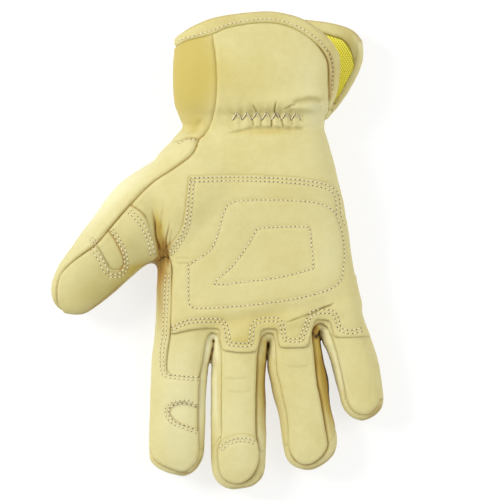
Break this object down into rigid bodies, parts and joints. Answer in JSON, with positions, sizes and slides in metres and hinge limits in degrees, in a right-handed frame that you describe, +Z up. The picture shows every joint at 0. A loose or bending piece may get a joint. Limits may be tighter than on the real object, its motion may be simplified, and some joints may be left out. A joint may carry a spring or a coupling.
{
  "type": "leather work glove",
  "caption": "Right-hand grain leather work glove, filled out, palm side up, with stitched second layers on palm, index and thumb and a split, bound cuff with a mesh lining.",
  "frame": {"origin": "on the flat of the hand's back, where the glove rests, under the middle of the palm", "axes": "+Z up out of the palm, +Y from the fingertips to the cuff, +X towards the little finger"},
  "size_m": [0.1815, 0.2623, 0.0425],
  "materials": {
    "grain_leather": "cream-yellow full-grain leather with fine pebble grain, soft satin",
    "back_leather": "cream-yellow grain leather, slightly deeper in colour, satin",
    "gusset_leather": "cream-yellow grain leather strips between the fingers, darker in the folds",
    "overlay_leather": "second layer of cream-yellow grain leather, sewn on with doubled rows of cream thread",
    "binding_leather": "folded strip of smooth cream leather, stitched along its inner edge",
    "mesh_lining": "bright yellow knitted mesh, matt"
  },
  "bodies": {
    "root": {"palm_panel": "grain_leather", "back_panel": "back_leather", "thumb_back": "back_leather", "fourchette_index_middle": "gusset_leather", "fourchette_middle_ring": "gusset_leather", "fourchette_ring_little": "gusset_leather", "palm_overlay": "overlay_leather", "index_overlay": "overlay_leather", "thumb_overlay": "overlay_leather", "middle_tip_cap": "overlay_leather", "cuff_binding": "binding_leather", "cuff_lining": "mesh_lining"}
  },
  "joints": []
}
